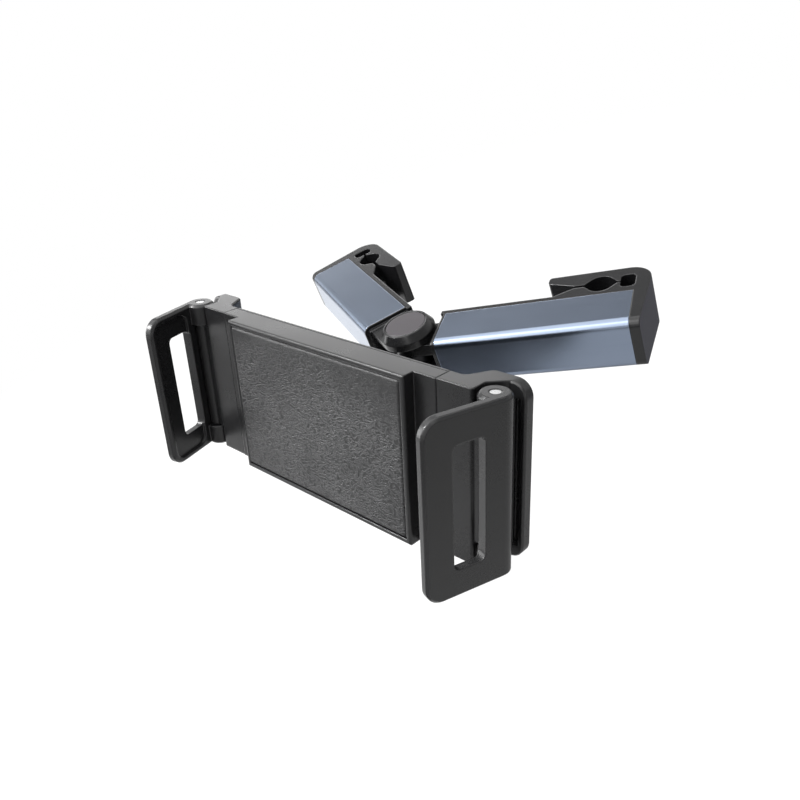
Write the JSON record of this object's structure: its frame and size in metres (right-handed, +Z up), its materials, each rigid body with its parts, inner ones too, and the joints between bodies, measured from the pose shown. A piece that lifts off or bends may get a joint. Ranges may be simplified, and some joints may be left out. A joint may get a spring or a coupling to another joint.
{
  "type": "tablet holder",
  "caption": "Tablet holder for the posts of a car headrest: hooked arms on a hinged hub carry a ball joint and a sprung cradle with folding claws and a padded face.",
  "frame": {"origin": "middle of the left hook's post seat, half way up the arm", "axes": "+Z up along the headrest posts, -Y towards the person who looks at the tablet, +X to their right"},
  "size_m": [0.1957, 0.1638, 0.0944],
  "materials": {
    "black_plastic": "fine matte grain",
    "grey_aluminium": "satin anodised",
    "pad_leather": "creased soft grain",
    "bright_steel": "plain",
    "cap_plastic": "satin",
    "washer_plastic": "plain",
    "inner_plastic": "plain"
  },
  "bodies": {
    "left_arm": {"left_arm_core": "black_plastic", "left_arm_cover": "grey_aluminium", "left_cover_screws": "bright_steel", "pivot_bolt": "bright_steel", "pivot_nut": "bright_steel", "hub_cap": "cap_plastic", "hub_washers": "washer_plastic"},
    "right_arm": {"right_arm_core": "black_plastic", "right_arm_cover": "grey_aluminium", "right_cover_screws": "bright_steel"},
    "stem": {"ball_stem": "bright_steel"},
    "socket": {"ball_liner": "inner_plastic"},
    "cradle": {"front_shell": "black_plastic", "leather_pad": "pad_leather", "back_lid": "black_plastic", "lid_screws": "bright_steel", "return_spring": "bright_steel"},
    "lock_ring": {"lock_ring": "black_plastic"},
    "pinion": {"pinion": "inner_plastic"},
    "left_slider": {"left_slider": "black_plastic"},
    "right_slider": {"right_slider": "black_plastic"},
    "left_claw": {"left_claw": "black_plastic", "left_hinge_pin": "bright_steel"},
    "right_claw": {"right_claw": "black_plastic", "right_hinge_pin": "bright_steel"}
  },
  "joints": [
    {"name": "arm_spread", "type": "hinge", "parent": "left_arm", "child": "right_arm", "pos_m": [0.06737, -0.0506, 0], "axis": [0, 0, 1], "range_deg": [-24, 40]},
    {"name": "stem_pan", "type": "hinge", "parent": "left_arm", "child": "stem", "pos_m": [0.06737, -0.0506, 0], "axis": [0, 0, 1], "range_deg": [-24, 24]},
    {"name": "ball_tilt", "type": "hinge", "parent": "stem", "child": "socket", "pos_m": [0.06737, -0.0884, -0.0025], "axis": [1, 0, 0], "range_deg": [-6.2, 43.8]},
    {"name": "cradle_swivel", "type": "hinge", "parent": "socket", "child": "cradle", "pos_m": [0.06737, -0.0884, -0.0025], "axis": [0, 0.9466, -0.3223], "continuous": true},
    {"name": "ring_turn", "type": "hinge", "parent": "cradle", "child": "lock_ring", "pos_m": [0.06737, -0.0884, -0.0025], "axis": [0, 0.9466, -0.3223], "range_deg": [0, 360]},
    {"name": "left_slide", "type": "slide", "parent": "cradle", "child": "left_slider", "axis": [-0.9952, 0.0314, 0.0924], "range_m": [0, 0.042], "stiffness_N_per_m": 60, "springref_m": -0.08},
    {"name": "right_slide", "type": "slide", "parent": "cradle", "child": "right_slider", "axis": [0.9952, -0.0314, -0.0924], "range_m": [0, 0.042]},
    {"name": "pinion_turn", "type": "hinge", "parent": "cradle", "child": "pinion", "pos_m": [0.06737, -0.1061, 0.00353], "axis": [0, -0.9466, 0.3223], "range_deg": [0, 302]},
    {"name": "left_claw_fold", "type": "hinge", "parent": "left_slider", "child": "left_claw", "pos_m": [-0.01494, -0.10435, 0.01146], "axis": [-0.0976, -0.3207, -0.9421], "range_deg": [-55, 20]},
    {"name": "right_claw_fold", "type": "hinge", "parent": "right_slider", "child": "right_claw", "pos_m": [0.14968, -0.10956, -0.00382], "axis": [0.0976, 0.3207, 0.9421], "range_deg": [-55, 20]}
  ],
  "couplings": [
    {"joint": "right_slide", "follows": "left_slide", "ratio": 1},
    {"joint": "pinion_turn", "follows": "left_slide", "rad_per_m": 125}
  ]
}
